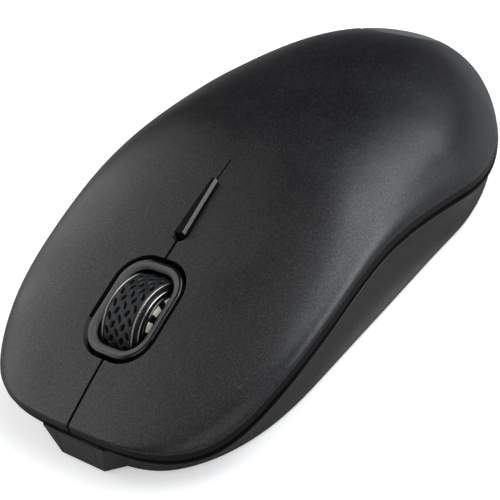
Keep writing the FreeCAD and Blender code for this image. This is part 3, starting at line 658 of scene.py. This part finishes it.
def build_painted_reflections(side, name):
    """Bright cream pads set round the disc's slanted face, each sunk into it at its edges, as painted reflections.
    """
    _, centre_y, centre_z = wheel_centre()
    shape = bmesh.new()
    for k in range(REFLECTION_PADS):
        middle = REFLECTION_PAD_START + 2 * math.pi * k / REFLECTION_PADS
        rows = []
        for radius, lift in REFLECTION_PAD_PROFILE:
            row = []
            for share in np.linspace(-1, 1, 11):
                x = disc_face(radius) + (lift if abs(share) < 1 else REFLECTION_PAD_SUNK)
                angle = middle + share * REFLECTION_PAD_SPAN / 2
                place = Vector((side * x, centre_y + radius * math.cos(angle),
                                centre_z + radius * math.sin(angle)))
                row.append(shape.verts.new(place * MM))
            rows.append(row)
        for first, second in zip(rows, rows[1:]):
            for i in range(len(first) - 1):
                shape.faces.new((first[i], first[i + 1], second[i + 1], second[i]))
    bmesh.ops.recalc_face_normals(shape, faces=shape.faces)
    obj = mesh_from_bmesh(name, shape)
    shade(obj, 38)
    return obj


# ---------------------------------------------------------------- materials
def node(tree, kind, **values):
    """A new shader node with its inputs or settings given by name."""
    made = tree.nodes.new(kind)
    for key, value in values.items():
        if key in made.inputs:
            made.inputs[key].default_value = value
        else:
            setattr(made, key, value)
    return made


def varied(tree, noise, low, high):
    """A noise's value spread over the range from low to high."""
    level = node(tree, "ShaderNodeMapRange", **{"From Min": 0.3, "From Max": 0.7, "To Min": low,
                                                "To Max": high})
    tree.links.new(noise.outputs["Fac"], level.inputs["Value"])
    return level.outputs[0]


def surface(name, colour, roughness, grain=0.15, grain_depth=0.15, spread=0.25, specular=0.5,
            metallic=0.0, edge=0.0, uneven=0.05):
    """A plastic, rubber or metal with fine grain and soft unevenness in its gloss.

    grain is the grain's size in millimetres, grain_depth its relief and spread its contrast. uneven is how
    far the roughness strays. edge, if given, is the radius in millimetres to which the shading rounds
    sharp edges.
    """
    material = bpy.data.materials.new(name)
    material.use_nodes = True
    tree = material.node_tree
    tree.nodes.clear()
    link = tree.links.new
    output = node(tree, "ShaderNodeOutputMaterial")
    shader = node(tree, "ShaderNodeBsdfPrincipled", **{"Metallic": metallic})
    link(shader.outputs[0], output.inputs[0])
    place = node(tree, "ShaderNodeTexCoord")
    fine = node(tree, "ShaderNodeTexNoise", **{"Scale": 1 / (grain * MM), "Detail": 2.0, "Roughness": 0.6})
    broad = node(tree, "ShaderNodeTexNoise", **{"Scale": 1 / (9 * MM), "Detail": 3.0})
    for texture in (fine, broad):
        link(place.outputs["Object"], texture.inputs["Vector"])
    mixed = node(tree, "ShaderNodeVectorMath", operation="SCALE")
    mixed.inputs[0].default_value = colour
    link(varied(tree, fine, 1 - spread, 1 + spread), mixed.inputs["Scale"])
    link(mixed.outputs[0], shader.inputs["Base Color"])
    link(varied(tree, broad, roughness - uneven, roughness + uneven), shader.inputs["Roughness"])
    glint = varied(tree, fine, specular * (1 - spread), specular * (1 + spread))
    link(glint, shader.inputs["Specular IOR Level"])
    bump = node(tree, "ShaderNodeBump", **{"Strength": grain_depth, "Distance": 0.05 * MM})
    link(fine.outputs["Fac"], bump.inputs["Height"])
    if edge:
        rounding = node(tree, "ShaderNodeBevel", samples=4, **{"Radius": edge * MM})
        link(rounding.outputs[0], bump.inputs["Normal"])
    link(bump.outputs[0], shader.inputs["Normal"])
    return material


def surface_parts(material):
    """The node tree of a surface, its shader, its place node and the socket that gives its colour."""
    tree = material.node_tree
    kinds = {item.bl_idname: item for item in tree.nodes}
    shader = kinds["ShaderNodeBsdfPrincipled"]
    return tree, shader, kinds["ShaderNodeTexCoord"], shader.inputs["Base Color"].links[0].from_socket


def sparkle(material, size, strength, threshold=0.72):
    """Brightens the cells, size millimetres across, whose random value from 0 to 1 is above threshold."""
    tree, shader, place, colour = surface_parts(material)
    link = tree.links.new
    cells = node(tree, "ShaderNodeTexVoronoi", **{"Scale": 1 / (size * MM)})
    link(place.outputs["Object"], cells.inputs["Vector"])
    split = node(tree, "ShaderNodeSeparateColor")
    link(cells.outputs["Color"], split.inputs[0])
    picked = node(tree, "ShaderNodeMapRange", **{"From Min": threshold, "From Max": 1.0, "To Max": strength})
    link(split.outputs[0], picked.inputs["Value"])
    grey = node(tree, "ShaderNodeCombineXYZ")
    for i in range(3):
        link(picked.outputs[0], grey.inputs[i])
    added = node(tree, "ShaderNodeVectorMath", operation="ADD")
    link(colour, added.inputs[0])
    link(grey.outputs[0], added.inputs[1])
    link(added.outputs[0], shader.inputs["Base Color"])
    return material


def paint_dimple_shade(material):
    """Darkens the tyre and takes its gloss away towards the bottoms of its dimples, as painted shade in the
    recesses.
    """
    tree, shader, place, colour = surface_parts(material)
    link = tree.links.new
    flat = node(tree, "ShaderNodeVectorMath", operation="MULTIPLY")
    flat.inputs[1].default_value = (0, 1, 1)
    link(place.outputs["Object"], flat.inputs[0])
    radius = node(tree, "ShaderNodeVectorMath", operation="DISTANCE")
    radius.inputs[1].default_value = wheel_centre() * (0, MM, MM)
    link(flat.outputs[0], radius.inputs[0])
    share = node(tree, "ShaderNodeMapRange", **{"From Min": (WHEEL_R - DIMPLE_DEPTH) * MM,
                                                "From Max": (WHEEL_R - DIMPLE_PAINTED_SHADE_START) * MM,
                                                "To Min": DIMPLE_PAINTED_SHADE})
    link(radius.outputs["Value"], share.inputs["Value"])
    dark = node(tree, "ShaderNodeVectorMath", operation="SCALE")
    link(colour, dark.inputs[0])
    link(share.outputs[0], dark.inputs["Scale"])
    link(dark.outputs[0], shader.inputs["Base Color"])
    gloss = node(tree, "ShaderNodeMath", operation="MULTIPLY")
    link(share.outputs[0], gloss.inputs[0])
    gloss.inputs[1].default_value = TYRE_GLOSS
    link(gloss.outputs[0], shader.inputs["Specular IOR Level"])
    return material


def shell_materials():
    """The casing, its gaps and its trim."""
    skin = surface("soft_black", (0.0045, 0.0045, 0.0055), 0.36, 0.16, 0.4, 0.45)
    return {
        "soft_black": sparkle(skin, 0.13, 0.022),
        # Darker and less glossy than the skin: painted shade on the lip band under the rim, along the seam
        "lip_painted_shade": surface("lip_painted_shade", (0.003, 0.003, 0.004), 0.42, 0.22, 0.3, 0.3, specular=0.2),
        "shell_black": surface("shell_black", (0.017, 0.0155, 0.0145), 0.4, 0.25, 0.3, 0.3, edge=0.25),
        "gap_black": surface("gap_black", (0.002, 0.002, 0.002), 0.7, 0.3, 0.2, specular=0.2),
        "bezel_grey": surface("bezel_grey", (0.062, 0.059, 0.055), 0.5, 0.2, 0.2, 0.15),
        # A lighter copy of the bar's black, painted on its side facets as sheen
        "bar_painted_sheen": surface("bar_painted_sheen", (0.03, 0.03, 0.03), 0.3, 0.2, 0.1, 0.15),
        "gloss_black": surface("gloss_black", (0.006, 0.006, 0.007), 0.13, 0.3, 0.03, 0.1, uneven=0.03),
        "bevel_black": surface("bevel_black", (0.003, 0.003, 0.004), 0.14, 0.3, 0.03, 0.1, specular=0.6,
                               uneven=0.03),
        "inlay_grey": surface("inlay_grey", (0.09, 0.091, 0.094), 0.45, 0.2, 0.1, 0.1, specular=0.4),
        "skate_slick": surface("skate_slick", (0.02, 0.02, 0.022), 0.3, 0.4, 0.1, edge=0.15),
    }


def wheel_materials():
    """The tyre, its rims and the hub."""
    rubber = surface("tyre_rubber", (0.009, 0.010, 0.012), 0.45, 0.15, 0.3, 0.3)
    return {
        # Rubber with painted shade darkening the bottoms of the dimples
        "tyre_rubber": paint_dimple_shade(rubber),
        "bright_rim": surface("bright_rim", (0.24, 0.24, 0.235), 0.28, 0.3, 0.05, 0.1, metallic=1.0),
        "polished_ring": surface("polished_ring", (0.36, 0.35, 0.32), 0.2, 0.3, 0.05, 0.1, metallic=1.0),
        # Cream painted on the hub's pads as reflections of the lights
        "hub_painted_reflection": surface("hub_painted_reflection", (0.62, 0.60, 0.48), 0.3, 0.3, 0.08, 0.1),
    }


def inside_materials():
    """What lies in the casing and under it."""
    return {
        "board_green": surface("board_green", (0.01, 0.09, 0.04), 0.4, 0.5, 0.1),
        "chip_black": surface("chip_black", (0.012, 0.012, 0.013), 0.5, 0.2, 0.2),
        "steel": surface("steel", (0.5, 0.5, 0.5), 0.3, 0.25, 0.08, 0.1, metallic=1.0, edge=0.1),
        "cell_can": surface("cell_can", (0.02, 0.05, 0.12), 0.3, 0.5, 0.05),
        "lens_clear": surface("lens_clear", (0.5, 0.53, 0.55), 0.08, 0.4, 0.02),
        "light_red": surface("light_red", (0.5, 0.03, 0.02), 0.25, 0.3, 0.05),
        "switch_body": surface("switch_body", (0.015, 0.015, 0.016), 0.45, 0.25, 0.15),
        "plunger_white": surface("plunger_white", (0.7, 0.7, 0.68), 0.4, 0.25, 0.1),
        "carrier_grey": surface("carrier_grey", (0.01, 0.01, 0.011), 0.5, 0.3, 0.2),
        "encoder_blue": surface("encoder_blue", (0.03, 0.08, 0.2), 0.45, 0.25, 0.15),
    }


def assign(obj, *materials):
    """Fills the mesh's slots in order, and leaves each face its slot number."""
    slots = obj.data.materials
    while len(slots) < len(materials):
        slots.append(None)
    for index, material in enumerate(materials):
        slots[index] = material


def dress_cad_nodes(materials):
    """A procedural material on every CAD node, by the material slot the record gives it."""
    slots = {entry["node"]: entry["material_slot"] for entry in frame["record"]["subparts"]}
    for name, obj in frame["nodes"].items():
        obj.data.materials.clear()
        obj.data.materials.append(materials[slots[name]])


# ---------------------------------------------------------------- studio
def direction(azimuth, elevation):
    """A unit vector from degrees round from the nose and degrees up."""
    around = math.radians(azimuth)
    up = math.radians(elevation)
    return Vector((math.sin(around) * math.cos(up), -math.cos(around) * math.cos(up), math.sin(up)))


def softbox(name, azimuth, elevation, distance, width, height, radiance, colour=(1, 1, 1)):
    """A rectangular light in metres that faces the middle of the body."""
    light = bpy.data.lights.new(name, "AREA")
    light.shape = "RECTANGLE"
    light.size = width
    light.size_y = height
    light.energy = radiance * math.pi * width * height
    light.color = colour
    obj = new_object(name, light)
    away = direction(azimuth, elevation)
    obj.location = away * distance + LIT_POINT
    obj.rotation_mode = "QUATERNION"
    obj.rotation_quaternion = (-away).to_track_quat("-Z", "Y")


def build_floor():
    """A pale floor that is darker where the glossy skin mirrors it."""
    shape = bmesh.new()
    bmesh.ops.create_grid(shape, x_segments=2, y_segments=2, size=FLOOR_HALF)
    floor = mesh_from_bmesh("floor", shape)
    material = bpy.data.materials.new("floor_pale")
    material.use_nodes = True
    tree = material.node_tree
    shader = tree.nodes["Principled BSDF"]
    shader.inputs["Roughness"].default_value = 0.85
    shader.inputs["Specular IOR Level"].default_value = 0.2
    shader.inputs["Emission Strength"].default_value = 0.5
    grain = node(tree, "ShaderNodeTexNoise", **{"Scale": 6.0})
    pale = node(tree, "ShaderNodeMapRange", **{"To Min": 0.84, "To Max": 0.88})
    tree.links.new(grain.outputs["Fac"], pale.inputs["Value"])
    rays = node(tree, "ShaderNodeLightPath")
    mirrored = node(tree, "ShaderNodeMapRange", **{"To Min": 1.0, "To Max": FLOOR_IN_GLOSS})
    tree.links.new(rays.outputs["Is Glossy Ray"], mirrored.inputs["Value"])
    tone = node(tree, "ShaderNodeMath", operation="MULTIPLY")
    tree.links.new(pale.outputs[0], tone.inputs[0])
    tree.links.new(mirrored.outputs[0], tone.inputs[1])
    tree.links.new(tone.outputs[0], shader.inputs["Base Color"])
    tree.links.new(tone.outputs[0], shader.inputs["Emission Color"])
    floor.data.materials.append(material)
    floor.location.z = -FLOOR_DROP


def build_world():
    """A white room that lights the object faintly and looks bright to the camera."""
    world = bpy.data.worlds.new("studio")
    world.use_nodes = True
    tree = world.node_tree
    background = tree.nodes["Background"]
    background.inputs["Color"].default_value = (1, 1, 1, 1)
    rays = node(tree, "ShaderNodeLightPath")
    level = node(tree, "ShaderNodeMapRange", **{"To Min": ROOM_LIGHT, "To Max": ROOM_SEEN})
    tree.links.new(rays.outputs["Is Camera Ray"], level.inputs["Value"])
    tree.links.new(level.outputs[0], background.inputs["Strength"])
    bpy.context.scene.world = world


def build_camera():
    """A long lens from the front left corner, rolled so that the body lies across the picture."""
    back = direction(CAMERA_AZIMUTH, CAMERA_ELEVATION)
    right = Vector((0, 0, 1)).cross(back).normalized()
    up = back.cross(right)
    across = right * math.cos(CAMERA_ROLL) + up * math.sin(CAMERA_ROLL)
    upright = up * math.cos(CAMERA_ROLL) - right * math.sin(CAMERA_ROLL)
    turn = Matrix((across, upright, back)).transposed().to_4x4()
    data = bpy.data.cameras.new("camera")
    data.sensor_width = 36.0
    data.lens = CAMERA_LENS
    data.clip_start = 0.01
    camera = new_object("camera", data)
    camera.matrix_world = Matrix.Translation(CAMERA_TARGET + back * CAMERA_DISTANCE) @ turn
    bpy.context.scene.camera = camera


def build_studio():
    build_floor()
    build_world()
    softbox("right_side", -73, 27, 0.7, 1.0, 0.6, 1.6)
    softbox("overhead", -20, 75, 0.7, 0.6, 0.8, 0.6)
    softbox("thumb_side", 135, 48, 0.6, 0.62, 0.64, 3.5, (0.93, 0.97, 1.0))
    softbox("thumb_low", 112, 12, 0.6, 0.4, 0.22, 6.0, (0.95, 0.98, 1.0))
    softbox("front_fill", 40, 21, 0.8, 0.7, 0.7, 1.0)
    build_camera()
    bpy.context.scene.view_settings.view_transform = "Standard"


# ---------------------------------------------------------------- build
def build():
    materials = {**shell_materials(), **wheel_materials(), **inside_materials()}
    dress_cad_nodes(materials)
    for obj in build_cover():
        # The lip band under the rim takes the painted shade
        assign(obj, materials["soft_black"], materials["lip_painted_shade"], materials["gap_black"],
               materials["soft_black"])
    assign(build_inlay(), materials["inlay_grey"])
    assign(build_bezel(), materials["bezel_grey"], materials["bevel_black"], materials["gap_black"])
    assign(build_bar(), materials["gloss_black"], materials["bar_painted_sheen"])
    assign(build_tyre(), materials["tyre_rubber"])
    for rim in build_rims():
        assign(rim, materials["bright_rim"])
    # The third finish is the painted reflection on the hub's pads
    finishes = (materials["gloss_black"], materials["polished_ring"], materials["hub_painted_reflection"])
    for obj, finish in build_hub():
        assign(obj, finishes[finish])
    build_studio()


build()
